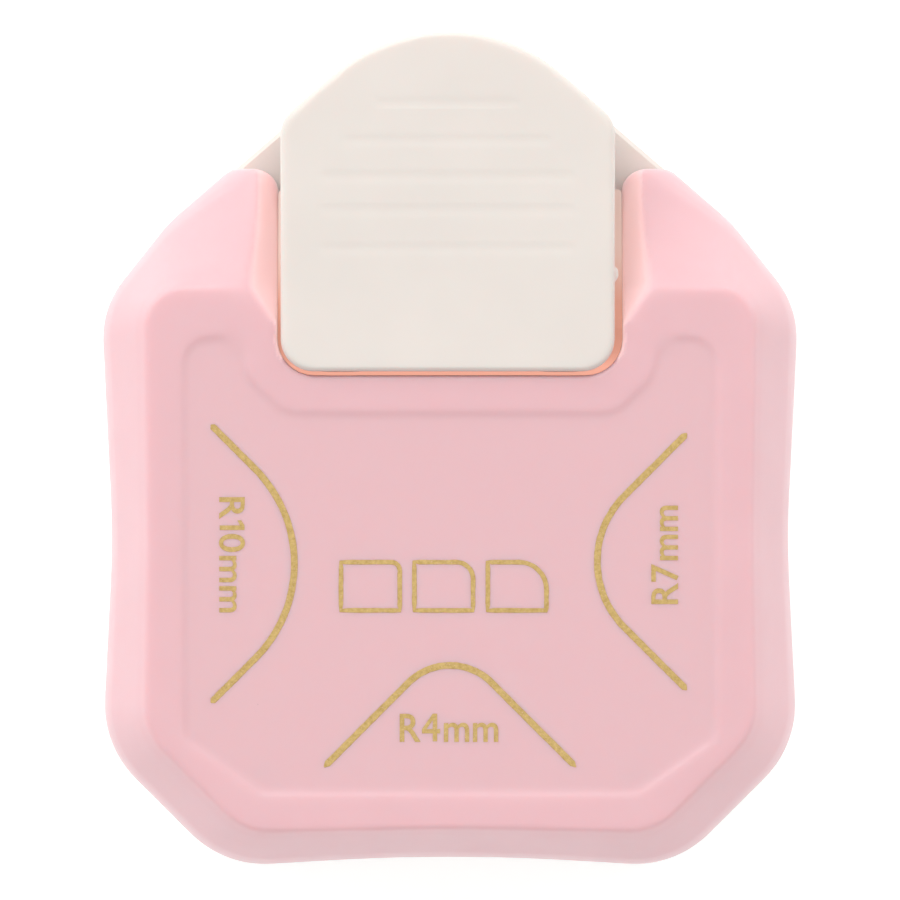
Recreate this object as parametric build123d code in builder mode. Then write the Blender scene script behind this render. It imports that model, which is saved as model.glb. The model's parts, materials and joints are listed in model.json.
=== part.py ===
from build123d import *
from math import cos, radians, sin, sqrt
import os

# A three-way corner rounder. Paper goes into a slot on the left, right or front side and rests in
# a 45 degree guide; pressing the rear lever drives one carrier with three punches through a die.
# Millimetres. The origin is the middle of the footprint on the table, +Z is up, the lever's free
# end points to +Y and the front slot to -Y.

# ---- driving dimensions: heights ----
deck_z = 12.5                # paper table, top of the deck
deck_low_z = 8.5             # where the deck lies on the base
gap_height = 1.2             # room for the paper
stripper_thick = 2.0
die_thick = 2.5
case_z = 29.5                # flat top of the case
low_ceiling_z = 20.0         # inside the case, behind its flanks
wall = 2.0                   # case wall
mouth_height = 3.0           # visible height of the three slots

# ---- driving dimensions: plan ----
rear_end_y = 27.0            # where the case's two horns end beside the lever
notch_half = 16.5            # notch in the case for the lever
notch_wall = 3.1
notch_y = 7.1
notch_radius = 3.6
horn_radius = 2.2
relief_middle_x = 14.0
relief_top_z = 31.0
panel_depth = 0.25
panel_taper = 55
mouth_margin = 0.8
past = 40.0                  # a length that reaches past the object, for cuts

# ---- driving dimensions: mechanism ----
pivot_y = -30.8
pivot_z = 24.1
hinge_pin_r = 1.5
press_arm = 19.0             # from the hinge pin to the press pin
press_pin_r = 2.0
punch_travel = 2.4
running_gap = 0.05           # radial clearance of running fits

# ---- driving dimensions: lever ----
lever_half = 15.93
lever_play = -0.22           # the lever has side play and lies a little to the left
lever_inner_y = 7.5
lever_inner_top_z = 30.5
lever_tip_top_z = 33.1
lever_tip_y = 40.0
landing_gap = 0.15           # left above the base when the lever is fully pressed
pad_thick = 2.0
pad_front_radius = 3.1
pad_rear_radius = 3.0
pad_edge_radius = 0.6
pad_rib_pitch = 7.5
pad_rib_thick = 1.4
web_thick = 2.0
lever_wall = 1.8
arm_inner_x = 9.0
arm_outer_x = 12.0
arm_boss_r = 3.0
hinge_boss_length = 1.7
groove_width = 1.0
groove_depth = 0.09

# ---- plan outlines: corners of the right half from the rear to the front, with their radii ----
body_corners = [
    ((0, 45.2), 16.5),
    ((27.0, 21.9), 12),
    ((33.5, 13.7), 9),
    ((32.4, -8.5), 80),
    ((33.4, -28.4), 10),
    ((21.7, -40.05), 10),
    ((0, -38.75), 200),
]
plateau_corners = [
    ((0, 16.0), 16.5),
    ((27.0, 15.6), 3.0),
    ((29.2, 13.4), 3.6),
    ((28.9, -8.5), 80),
    ((29.2, -26.9), 6),
    ((19.6, -36.5), 6),
    ((0, -36.1), 200),
]
panel_corners = [
    ((15.6, 3.7), 3.0),
    ((19.2, 7.1), 3.0),
    ((19.6, 10.95), 2.5),
    ((25.7, 10.95), 2.9),
    ((25.6, -27.6), 2.2),
    ((18.0, -33.0), 2.2),
]
# the case's profile: heights, and how far its outline has closed in there from the body's to the
# flat top's
case_profile = [
    (18.2, 0.0),
    (19.8, 0.03),
    (21.2, 0.09),
    (22.5, 0.18),
    (27.8, 0.80),
    (28.5, 0.895),
    (29.05, 0.965),
    (29.38, 1.01),
    (case_z, 1.06),
]
# the leaning walls beside the lever: place along the object, foot, then the upper edge's X and Z
relief_sections = [
    (12.2, 29.0, 16.7, case_z),
    (15.5, 25.8, 18.9, 29.3),
    (28.0, 18.3, 18.3, 22.0),
]
stack_corners = [
    ((23.1, 5.9), 1),
    ((26.0, 3.0), 1),
    ((26.0, -24.0), 1),
    ((17.5, -31.0), 1),
]
carrier_corners = [
    ((6.0, 5.2), 2),
    ((18.6, -2.6), 2),
    ((18.6, -27.6), 2),
]

# ---- heights and angles worked out from the above ----
guide_z = deck_z
stripper_z = deck_z + gap_height
stripper_top_z = stripper_z + stripper_thick
die_z = deck_z - die_thick
punch_tip_z = stripper_z + 0.15
ceiling_z = case_z - wall
carrier_z = 18.5
carrier_top_z = 20.6
boss_top_z = 22.0
press_pin_z = pivot_z
press_pin_y = pivot_y + press_arm
wear_pad_top_z = press_pin_z - press_pin_r - 0.05
wear_pad_thick = 0.8
press_angle = punch_travel / press_arm

# ---- the three stations: name, radius, apex of the paper's corner, direction it points in ----
stations = [
    ("r10", 10.0, (-10.5, -10.8), 0),
    ("r7", 7.0, (11.2, -10.8), 180),
    ("r4", 4.0, (0.0, -19.0), 90),
]
punch_side = 1.4             # how far a punch reaches past the paper's edges
punch_back = 1.2             # how far it reaches past the paper's corner

# ---- places shared by several pieces ----
post_places = [(-14.5, -23.2), (14.5, -23.2), (0.0, 1.0)]
post_r = 1.6
stack_screw_places = [(-8.0, 2.0), (8.0, 2.0), (-7.75, -17.2), (7.75, -17.2)]
stack_screw_r = 1.0
stack_head_r = 2.0
deck_screw_places = [(-22.0, 3.6), (22.0, 3.6), (-17.0, -28.0), (17.0, -28.0)]
case_screw_places = [(-26.5, 12.5), (26.5, 12.5), (-23.2, -31.6), (23.2, -31.6)]
case_screw_r = 1.3
case_pilot_depth = 9.0
case_boss_r = 3.2
bracket_screw_x = 17.9
bracket_screw_r = 1.0
bracket_pilot_depth = 3.9
bracket_boss_x = 19.0
bracket_boss_z = 24.6
grooves = [(33.1, 13.7), (29.5, 20.0), (26.1, 24.4), (22.9, 24.4), (19.2, 24.4)]

# ---- base and die ----
base_wall = 2.4
base_boss_r = 4.2
base_rib_pitch = 9.0
base_rib_thick = 1.5
screw_head_r = 2.3
case_screw_seat_z = 3.0
chamber_wall = 1.8
window_half = 19.0
window_front_y = -24.0
window_rear_y = 3.8
die_width = 41.0
die_length = 31.0
die_middle_y = -10.1
die_corner_radius = 3.0
die_gap = 0.03

# ---- chip chamber and its sliding cover ----
cover_half = 18.0
cover_lip_half = 16.0
cover_end_y = 6.0
cover_low_z = 0.2
cover_z = 1.0
cover_top_z = 2.2
chamber_half = 19.5
chamber_front_y = -33.0
chamber_rear_y = 6.0
cover_gap = 0.15
grip_y = -33.0

upwards = (Align.CENTER, Align.CENTER, Align.MIN)
downwards = (Align.CENTER, Align.CENTER, Align.MAX)

os.makedirs("parts", exist_ok=True)


def behind(y):
    """A sheet that covers everything behind a line across the object."""
    with BuildSketch() as region:
        with Locations((0, y + past / 2)):
            Rectangle(2 * past, past)
    return region.sketch


def ring(right_half):
    """The closed, rounded outline that a right half and its mirror image make."""
    left_half = [((-x, y), r) for (x, y), r in reversed(right_half) if x > 0]
    corners = right_half + left_half
    with BuildSketch() as plan:
        with BuildLine():
            FilletPolyline(
                *[place for place, _ in corners],
                radius=[radius for _, radius in corners],
                close=True,
            )
        make_face()
    return plan.sketch


def between(first, last, share):
    """The corners of an outline that lies between two others, or a little past the last."""
    corners = []
    for ((x1, y1), r1), ((x2, y2), r2) in zip(first, last):
        place = (x1 + (x2 - x1) * share, y1 + (y2 - y1) * share)
        corners.append((place, r1 + (r2 - r1) * share))
    return corners


def inset(face, amount):
    """The same outline pulled in all round."""
    with BuildSketch() as smaller:
        add(face)
        offset(amount=-amount, kind=Kind.INTERSECTION)
    return smaller.sketch


def station_plane(apex, radius, angle, z):
    """A plane at the centre of a station's arc, with +X towards the paper's corner."""
    reach = radius * sqrt(2)
    x = apex[0] - reach * cos(radians(angle))
    y = apex[1] - reach * sin(radians(angle))
    return Plane(origin=(x, y, z), x_dir=(cos(radians(angle)), sin(radians(angle)), 0))


def punch_face(radius, grow=0.0):
    """The waste corner that a station cuts off, reaching a little past the paper."""
    touch = radius / sqrt(2)
    side = punch_side / sqrt(2)
    back_x = radius * sqrt(2) + punch_back
    back_y = punch_side * sqrt(2) - punch_back
    with BuildSketch() as waste:
        with BuildLine():
            ThreePointArc((touch, -touch), (radius, 0), (touch, touch))
            Polyline(
                (touch, touch),
                (touch + side, touch + side),
                (back_x, back_y),
                (back_x, -back_y),
                (touch + side, -touch - side),
                (touch, -touch),
            )
        make_face()
        if grow:
            offset(amount=grow, kind=Kind.INTERSECTION)
    return waste.sketch


def punch_middle(radius):
    """Where a punch is thickest, from its arc's centre towards the paper's corner."""
    return (radius + radius * sqrt(2) + punch_back) / 2


def paper_face(radius, margin=0.0):
    """The wedge of room for the paper at a station, seen from its arc's centre."""
    reach = 45.0
    apex_x = radius * sqrt(2) + margin
    with BuildSketch() as wedge:
        with BuildLine():
            Polyline(
                (apex_x, 0),
                (apex_x - reach, reach),
                (apex_x - reach, -reach),
                (apex_x, 0),
            )
        make_face()
    return wedge.sketch


body_plan = ring(body_corners)
plateau_plan = ring(plateau_corners)
panel_plan = ring(panel_corners)
stack_plan = ring(stack_corners)
carrier_plan = ring(carrier_corners)
base_plan = inset(body_plan, 0.2)

# ---------------------------------------------------------------- top case
# The outer shape: an upright skirt, then flanks that close in to the flat top.
with BuildPart() as case_block:
    with BuildSketch(Plane.XY.offset(deck_z)):
        add(body_plan)
    extrude(amount=case_profile[0][0] - deck_z)
    for height, share in case_profile:
        with BuildSketch(Plane.XY.offset(height)):
            add(ring(between(body_corners, plateau_corners, share)))
    loft(ruled=True)

# The hollow inside: a wide room behind the skirt and a narrower one under the flat top. The
# notch's side walls run down through both of them, and bosses stand in it for the screws.
with BuildPart() as case_hollow:
    with BuildSketch(Plane.XY.offset(deck_z)):
        add(inset(body_plan, wall))
        add(behind(rear_end_y - wall), mode=Mode.SUBTRACT)
    extrude(amount=low_ceiling_z - deck_z)
    with BuildSketch(Plane.XY.offset(low_ceiling_z)):
        add(inset(plateau_plan, wall))
    extrude(amount=ceiling_z - low_ceiling_z)
    with BuildSketch(Plane.XY.offset(deck_z)):
        with Locations((0, notch_y + past / 2)):
            Rectangle(2 * notch_half + 2 * notch_wall, past)
        with Locations(*case_screw_places):
            Circle(case_boss_r)
    extrude(amount=case_z, mode=Mode.SUBTRACT)
    with BuildSketch(Plane.XY.offset(bracket_boss_z)):
        with Locations((-bracket_boss_x, pivot_y), (bracket_boss_x, pivot_y)):
            Rectangle(5.4, 5.6)
    extrude(amount=case_z - bracket_boss_z, mode=Mode.SUBTRACT)

# Beside the horns the notch's walls lean outwards. The leaning face follows the horns down.
with BuildPart() as relief_cut:
    for y, low_z, edge_x, edge_z in relief_sections:
        lean = (edge_x - notch_half) / (edge_z - low_z)
        top_x = notch_half + lean * (relief_top_z - low_z)
        with BuildSketch(Plane.XZ.offset(-y)):
            with BuildLine():
                Polyline(
                    (relief_middle_x, low_z),
                    (notch_half, low_z),
                    (top_x, relief_top_z),
                    (relief_middle_x, relief_top_z),
                    close=True,
                )
            make_face()
    loft(ruled=True)
    mirror(about=Plane.YZ)

with BuildPart() as top_case:
    add(case_block.part)
    with BuildSketch():
        add(behind(rear_end_y))
    extrude(amount=past, mode=Mode.SUBTRACT)
    add(case_hollow.part, mode=Mode.SUBTRACT)
    with BuildSketch(Plane.XY.offset(deck_z)):
        with Locations((0, notch_y + past / 2)):
            RectangleRounded(2 * notch_half, past, notch_radius)
    extrude(amount=past, mode=Mode.SUBTRACT)
    add(relief_cut.part, mode=Mode.SUBTRACT)
    # below the flat top the notch's corners are square, because the lever swings into them
    with BuildSketch(Plane.XY.offset(deck_z)):
        with Locations((0, notch_y + notch_radius / 2)):
            Rectangle(2 * notch_half, notch_radius)
    extrude(amount=ceiling_z - deck_z, mode=Mode.SUBTRACT)
    # the horns' rear ends are rounded towards the lever
    with BuildSketch(Plane.XY.offset(deck_z)):
        with Locations((notch_half + horn_radius / 2, rear_end_y - horn_radius / 2)):
            Rectangle(horn_radius, horn_radius)
        with Locations((notch_half + horn_radius, rear_end_y - horn_radius)):
            Circle(horn_radius, mode=Mode.SUBTRACT)
        mirror(about=Plane.YZ)
    extrude(amount=past, mode=Mode.SUBTRACT)
    # slots for the paper
    for _, radius, apex, angle in stations:
        with BuildSketch(station_plane(apex, radius, angle, deck_z)):
            add(paper_face(radius, mouth_margin))
        extrude(amount=mouth_height, mode=Mode.SUBTRACT)
    # shallow panel that carries the print
    with BuildSketch(Plane.XY.offset(case_z)):
        add(panel_plan)
    extrude(amount=-panel_depth, taper=panel_taper, mode=Mode.SUBTRACT)
    # pilot holes of the case screws and of the bracket screws
    with Locations(*[(x, y, deck_z) for x, y in case_screw_places]):
        Cylinder(case_screw_r, case_pilot_depth, align=upwards, mode=Mode.SUBTRACT)
    with Locations(*[(side * bracket_screw_x, pivot_y, bracket_boss_z) for side in (-1, 1)]):
        Cylinder(bracket_screw_r, bracket_pilot_depth, align=upwards, mode=Mode.SUBTRACT)
top_case.part.label = "top_case"
export_step(top_case.part, "parts/top_case.step")

# ---------------------------------------------------------------- lever
# The pad is a shell between a rising top plane and a lower plane that meets the base's deck when
# the lever is pressed. Two arms run from it, under the case's flat top, to the hinge pin.
lever_slope = (lever_tip_top_z - lever_inner_top_z) / (lever_tip_y - lever_inner_y)
lever_top_plane = Plane(
    origin=(lever_play, lever_inner_y, lever_inner_top_z),
    x_dir=(1, 0, 0),
    z_dir=(0, -lever_slope, 1),
)
landing_rise = sin(press_angle) / cos(press_angle)
landing_inner_z = pivot_z - (pivot_z - deck_z - landing_gap) / cos(press_angle)
landing_inner_z += (lever_inner_y - pivot_y) * landing_rise
lever_low_plane = Plane(
    origin=(lever_play, lever_inner_y, landing_inner_z),
    x_dir=(1, 0, 0),
    z_dir=(0, -landing_rise, 1),
)

with BuildSketch() as pad_plan:
    add(body_plan)
    with Locations((0, lever_inner_y + past / 2)):
        Rectangle(2 * lever_half, past, mode=Mode.INTERSECT)
    fillet(pad_plan.vertices().group_by(Axis.Y)[0], radius=pad_front_radius)
    pad_sides = pad_plan.vertices().filter_by(lambda v: abs(v.X) > lever_half - 0.1)
    fillet(pad_sides.sort_by(Axis.Y)[-2:], radius=pad_rear_radius)

# the hollow under the pad, with stiffening ribs left standing in it
with BuildPart() as pad_room:
    with BuildSketch():
        add(inset(pad_plan.sketch, lever_wall))
    extrude(amount=past)
    split(bisect_by=lever_top_plane.offset(-pad_thick), keep=Keep.BOTTOM)
    with BuildSketch():
        with GridLocations(pad_rib_pitch, 1, 3, 1):
            Rectangle(pad_rib_thick, 2 * past)
        with Locations((0, 18.0), (0, 28.0)):
            Rectangle(2 * lever_half, pad_rib_thick)
    extrude(amount=past, mode=Mode.SUBTRACT)

with BuildPart() as lever_pad:
    with BuildSketch():
        add(pad_plan.sketch)
    extrude(amount=past)
    split(bisect_by=lever_top_plane, keep=Keep.BOTTOM)
    split(bisect_by=lever_low_plane, keep=Keep.TOP)
    fillet(lever_pad.faces().sort_by(Axis.Z)[-1].edges(), radius=pad_edge_radius)
    add(pad_room.part, mode=Mode.SUBTRACT)

# one arm, drawn from the side, with a boss round each pin
arm_top_z = ceiling_z - 0.1
arm_low_z = pivot_z - 1.1
arm_heel_z = pivot_z - 1.7
arm_end_y = lever_inner_y + 1.0
with BuildPart() as lever_arms:
    with BuildSketch(Plane.YZ.offset(arm_inner_x)):
        with BuildLine():
            Polyline(
                (pivot_y, arm_heel_z),
                (press_pin_y - 2.0, arm_heel_z),
                (press_pin_y, arm_low_z),
                (arm_end_y, arm_low_z),
                (arm_end_y, arm_top_z),
                (pivot_y + 1.0, arm_top_z),
                (pivot_y, pivot_z + arm_boss_r - 0.3),
                close=True,
            )
        make_face()
        with Locations((pivot_y, pivot_z), (press_pin_y, pivot_z)):
            Circle(arm_boss_r)
    extrude(amount=arm_outer_x - arm_inner_x)
    with BuildSketch(Plane.YZ.offset(arm_outer_x)):
        with Locations((pivot_y, pivot_z)):
            Circle(arm_boss_r)
    extrude(amount=hinge_boss_length)
    mirror(about=Plane.YZ)
    # web between the arms, beside the press pin
    with BuildSketch(Plane.XY.offset(arm_top_z - web_thick)):
        with Locations((0, press_pin_y - 9.0)):
            Rectangle(2 * arm_inner_x, 12.0)
    extrude(amount=web_thick - 0.1)

with BuildPart() as lever:
    with Locations((lever_play, 0, 0)):
        add(lever_pad.part)
    add(lever_arms.part)
    with Locations(Location((0, pivot_y, pivot_z), (0, 90, 0))):
        Cylinder(hinge_pin_r + running_gap, past, mode=Mode.SUBTRACT)
    with Locations(Location((0, press_pin_y, press_pin_z), (0, 90, 0))):
        Cylinder(press_pin_r, past, mode=Mode.SUBTRACT)
    # finger grooves in the top
    for groove_y, groove_length in grooves:
        run = (groove_y - lever_inner_y) * sqrt(1 + lever_slope**2)
        with BuildSketch(lever_top_plane):
            with Locations((0, run)):
                SlotOverall(groove_length, groove_width)
        extrude(amount=-groove_depth, mode=Mode.SUBTRACT)
    # small nub on the right side
    with Locations((lever_play + lever_half + 0.05, 16.8, 29.2)):
        Box(0.6, 0.9, 1.4)
lever.part.label = "lever"
export_step(lever.part, "parts/lever.step")

# ---------------------------------------------------------------- base
# The base is a ring of walls and ribs round the chip chamber, with a channel for the cover.
chamber_y = (chamber_front_y + chamber_rear_y) / 2
bay_edge_y = chamber_rear_y + 2.5
with BuildPart() as base:
    with BuildSketch():
        add(base_plan)
    extrude(amount=deck_low_z)
    chamfer(base.faces().sort_by(Axis.Z)[0].edges(), length=0.5)
    # hollow round the chip chamber, with ribs and screw bosses left standing
    with BuildSketch():
        add(inset(base_plan, base_wall))
        with Locations((0, bay_edge_y - past)):
            Rectangle(2 * chamber_half + 2 * chamber_wall, 2 * past, mode=Mode.SUBTRACT)
        with Locations(*case_screw_places):
            Circle(base_boss_r, mode=Mode.SUBTRACT)
        with GridLocations(base_rib_pitch, 1, 7, 1):
            Rectangle(base_rib_thick, 2 * past, mode=Mode.SUBTRACT)
        with Locations((0, 20.0), (0, -12.0)):
            Rectangle(2 * past, base_rib_thick, mode=Mode.SUBTRACT)
    extrude(amount=deck_low_z, mode=Mode.SUBTRACT)
    # chip chamber
    with BuildSketch(Plane.XY.offset(cover_top_z)):
        with Locations((0, chamber_y)):
            Rectangle(2 * chamber_half, chamber_rear_y - chamber_front_y)
    extrude(amount=deck_low_z - cover_top_z, mode=Mode.SUBTRACT)
    # channel of the sliding cover, with lips that hold it
    for half, low, high in (
        (cover_half + cover_gap, cover_z - 0.1, cover_top_z + 0.1),
        (cover_lip_half + cover_gap, 0.0, cover_z),
    ):
        with BuildSketch(Plane.XY.offset(low)):
            with Locations((0, cover_end_y + cover_gap - past)):
                Rectangle(2 * half, 2 * past)
        extrude(amount=high - low, mode=Mode.SUBTRACT)
    with Locations(*[(x, y, 0) for x, y in case_screw_places]):
        Cylinder(case_screw_r + 0.15, past, align=upwards, mode=Mode.SUBTRACT)
        Cylinder(screw_head_r + 0.2, case_screw_seat_z, align=upwards, mode=Mode.SUBTRACT)
base.part.label = "base"
export_step(base.part, "parts/base.step")

# ---------------------------------------------------------------- deck
# The paper table lies on the base. The die plate drops into its pocket, above a window that the
# chips fall through.
window_middle_y = (window_front_y + window_rear_y) / 2
with BuildPart() as deck:
    with BuildSketch(Plane.XY.offset(deck_low_z)):
        add(base_plan)
    extrude(amount=deck_z - deck_low_z)
    chamfer(deck.faces().sort_by(Axis.Z)[-1].edges(), length=0.4)
    chamfer(deck.faces().sort_by(Axis.Z)[0].edges(), length=0.2)
    with BuildSketch(Plane.XY.offset(deck_low_z)):
        with Locations((0, window_middle_y)):
            Rectangle(2 * window_half, window_rear_y - window_front_y)
        with Locations(*case_screw_places):
            Circle(case_screw_r + 0.15)
        with Locations(*deck_screw_places):
            Circle(stack_screw_r)
    extrude(amount=deck_z - deck_low_z, mode=Mode.SUBTRACT)
    with BuildSketch(Plane.XY.offset(die_z)):
        with Locations((0, die_middle_y)):
            RectangleRounded(die_width + 0.4, die_length + 0.4, die_corner_radius)
    extrude(amount=die_thick, mode=Mode.SUBTRACT)
deck.part.label = "deck"
export_step(deck.part, "parts/deck.step")

# ---------------------------------------------------------------- chip cover
with BuildPart() as chip_cover:
    for half, low, high in (
        (cover_half, cover_z, cover_top_z),
        (cover_lip_half, cover_low_z, cover_z),
    ):
        with BuildSketch(Plane.XY.offset(low)):
            add(base_plan)
            with Locations((0, cover_end_y - past)):
                Rectangle(2 * half, 2 * past, mode=Mode.INTERSECT)
        extrude(amount=high - low)
    # thumb grooves near the front edge
    with BuildSketch(Plane.XY.offset(cover_low_z)):
        with Locations((0, grip_y)):
            with GridLocations(1, 2.0, 1, 4):
                SlotOverall(16.0, 0.9)
    extrude(amount=0.4, mode=Mode.SUBTRACT)
chip_cover.part.label = "chip_cover"
export_step(chip_cover.part, "parts/chip_cover.step")

# ---------------------------------------------------------------- die stack
with BuildPart() as die_plate:
    with BuildSketch(Plane.XY.offset(die_z)):
        with Locations((0, die_middle_y)):
            RectangleRounded(die_width, die_length, die_corner_radius)
        with Locations(*post_places):
            Circle(post_r, mode=Mode.SUBTRACT)
        with Locations(*stack_screw_places):
            Circle(stack_screw_r, mode=Mode.SUBTRACT)
    extrude(amount=die_thick)
    for _, radius, apex, angle in stations:
        with BuildSketch(station_plane(apex, radius, angle, die_z)):
            add(punch_face(radius, die_gap))
        extrude(amount=die_thick, mode=Mode.SUBTRACT)
die_plate.part.label = "die_plate"
export_step(die_plate.part, "parts/die_plate.step")

# the 45 degree fences that stop the paper
with BuildPart() as paper_guide:
    with BuildSketch(Plane.XY.offset(guide_z)):
        add(stack_plan)
        with Locations(*post_places):
            Circle(post_r, mode=Mode.SUBTRACT)
        with Locations(*stack_screw_places, *deck_screw_places):
            Circle(stack_screw_r, mode=Mode.SUBTRACT)
    extrude(amount=gap_height)
    for _, radius, apex, angle in stations:
        with BuildSketch(station_plane(apex, radius, angle, guide_z)):
            add(paper_face(radius))
            add(punch_face(radius, 0.2))
        extrude(amount=gap_height, mode=Mode.SUBTRACT)
paper_guide.part.label = "paper_guide"
export_step(paper_guide.part, "parts/paper_guide.step")

with BuildPart() as stripper_plate:
    with BuildSketch(Plane.XY.offset(stripper_z)):
        add(stack_plan)
        with Locations(*post_places):
            Circle(post_r, mode=Mode.SUBTRACT)
    extrude(amount=stripper_thick)
    for _, radius, apex, angle in stations:
        with BuildSketch(station_plane(apex, radius, angle, stripper_z)):
            add(punch_face(radius, running_gap))
        extrude(amount=stripper_thick, mode=Mode.SUBTRACT)
    with Locations(*[(x, y, stripper_top_z) for x, y in stack_screw_places + deck_screw_places]):
        CounterSinkHole(stack_screw_r, stack_head_r, depth=stripper_thick)
stripper_plate.part.label = "stripper_plate"
export_step(stripper_plate.part, "parts/stripper_plate.step")

# countersunk screws: the inner ones end in the die plate, the outer ones in the deck
sink_depth = stack_head_r - stack_screw_r
for name, places, end_z in (
    ("stack_screws", stack_screw_places, die_z + 0.1),
    ("deck_screws", deck_screw_places, deck_low_z + 0.1),
):
    with BuildPart() as screws:
        for x, y in places:
            with Locations((x, y, end_z)):
                Cylinder(stack_screw_r, stripper_top_z - end_z, align=upwards)
            with Locations((x, y, stripper_top_z - sink_depth)):
                Cone(stack_screw_r, stack_head_r, sink_depth, align=upwards)
            with Locations((x, y, stripper_top_z)):
                Box(2.2, 0.5, 0.8, mode=Mode.SUBTRACT)
                Box(0.5, 2.2, 0.8, mode=Mode.SUBTRACT)
    screws.part.label = name
    export_step(screws.part, "parts/" + name + ".step")

# ---------------------------------------------------------------- guide posts and their springs
post_names = ("left", "right", "rear")
post_top_z = 22.8
spring_room_r = 3.1
spring_room_depth = 2.3
spring_wire_r = 0.25
spring_r = 2.4
spring_turns = 5
spring_foot_z = stripper_top_z + 0.02
spring_top_z = 20.78
for name, (x, y) in zip(post_names, post_places):
    with BuildPart() as guide_post:
        with Locations((x, y, die_z)):
            Cylinder(post_r, post_top_z - die_z, align=upwards)
        chamfer(guide_post.faces().sort_by(Axis.Z)[-1].edges(), length=0.3)
    guide_post.part.label = "guide_post_" + name
    export_step(guide_post.part, "parts/guide_post_" + name + ".step")

    coil_height = spring_top_z - spring_foot_z - 2 * spring_wire_r
    with BuildPart() as spring:
        with BuildLine():
            coil = Helix(
                pitch=coil_height / spring_turns,
                height=coil_height,
                radius=spring_r,
                center=(x, y, spring_foot_z + spring_wire_r),
            )
        with BuildSketch(Plane(origin=coil @ 0, z_dir=coil % 0)):
            Circle(spring_wire_r)
        sweep(path=coil, is_frenet=True)
    spring.part.label = "return_spring_" + name
    export_step(spring.part, "parts/return_spring_" + name + ".step")

# ---------------------------------------------------------------- punch carrier
carrier_thick = carrier_top_z - carrier_z
punch_seat = 0.6
punch_screw_r = 0.8
punch_screw_head_r = 1.5
punch_screw_sink = punch_screw_head_r - punch_screw_r
punch_screw_end_z = 15.5
pad_width = 13.6
pad_length = 5.6
with BuildPart() as punch_carrier:
    with BuildSketch(Plane.XY.offset(carrier_z)):
        add(carrier_plan)
    extrude(amount=carrier_thick)
    with BuildSketch(Plane.XY.offset(carrier_z)):
        with Locations(*post_places):
            Circle(3.9)
    extrude(amount=boss_top_z - carrier_z)
    # raised land under the press pin, with a recess for the wear pad
    with BuildSketch(Plane.XY.offset(carrier_z)):
        with Locations((0, press_pin_y)):
            RectangleRounded(pad_width + 2.0, pad_length + 2.4, 1)
    extrude(amount=wear_pad_top_z - 0.2 - carrier_z)
    with BuildSketch(Plane.XY.offset(wear_pad_top_z - wear_pad_thick)):
        with Locations((0, press_pin_y)):
            Rectangle(pad_width, pad_length)
    extrude(amount=wear_pad_thick, mode=Mode.SUBTRACT)
    # bores on the posts, and rooms for the springs
    with Locations(*[(x, y, carrier_z) for x, y in post_places]):
        Cylinder(post_r + running_gap, boss_top_z, align=upwards, mode=Mode.SUBTRACT)
        Cylinder(spring_room_r, spring_room_depth, align=upwards, mode=Mode.SUBTRACT)
    # seats of the punches and holes of their screws
    for _, radius, apex, angle in stations:
        with BuildSketch(station_plane(apex, radius, angle, carrier_z)):
            add(punch_face(radius))
        extrude(amount=punch_seat, mode=Mode.SUBTRACT)
        with Locations(station_plane(apex, radius, angle, carrier_top_z)):
            with Locations((punch_middle(radius), 0)):
                CounterSinkHole(punch_screw_r, punch_screw_head_r, depth=carrier_thick)
punch_carrier.part.label = "punch_carrier"
export_step(punch_carrier.part, "parts/punch_carrier.step")

with BuildPart() as wear_pad:
    with BuildSketch(Plane.XY.offset(wear_pad_top_z - wear_pad_thick)):
        with Locations((0, press_pin_y)):
            Rectangle(pad_width, pad_length)
    extrude(amount=wear_pad_thick)
    chamfer(wear_pad.faces().sort_by(Axis.Z)[-1].edges(), length=0.15)
wear_pad.part.label = "wear_pad"
export_step(wear_pad.part, "parts/wear_pad.step")

punch_top_z = carrier_z + punch_seat
for name, radius, apex, angle in stations:
    with BuildPart() as punch:
        with BuildSketch(station_plane(apex, radius, angle, punch_tip_z)):
            add(punch_face(radius))
        extrude(amount=punch_top_z - punch_tip_z)
        with BuildSketch(station_plane(apex, radius, angle, punch_screw_end_z)):
            with Locations((punch_middle(radius), 0)):
                Circle(punch_screw_r)
        extrude(amount=punch_top_z - punch_screw_end_z, mode=Mode.SUBTRACT)
    punch.part.label = "punch_" + name
    export_step(punch.part, "parts/punch_" + name + ".step")

with BuildPart() as punch_screws:
    for _, radius, apex, angle in stations:
        with BuildSketch(station_plane(apex, radius, angle, punch_screw_end_z)):
            with Locations((punch_middle(radius), 0)):
                Circle(punch_screw_r)
        extrude(amount=carrier_top_z - punch_screw_end_z)
        with Locations(station_plane(apex, radius, angle, carrier_top_z)):
            with Locations((punch_middle(radius), 0, -punch_screw_sink)):
                Cone(punch_screw_r, punch_screw_head_r, punch_screw_sink, align=upwards)
            with Locations((punch_middle(radius), 0, 0)):
                Box(1.8, 0.4, 0.6, mode=Mode.SUBTRACT)
punch_screws.part.label = "punch_screws"
export_step(punch_screws.part, "parts/punch_screws.step")

# ---------------------------------------------------------------- pins
for name, pin_r, pin_half, pin_y in (
    ("hinge_pin", hinge_pin_r, 15.9, pivot_y),
    ("press_pin", press_pin_r, arm_outer_x, press_pin_y),
):
    with BuildPart() as pin:
        with Locations(Location((0, pin_y, pivot_z), (0, 90, 0))):
            Cylinder(pin_r, 2 * pin_half)
        chamfer(pin.edges().filter_by(GeomType.CIRCLE), length=0.2)
    pin.part.label = name
    export_step(pin.part, "parts/" + name + ".step")

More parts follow.
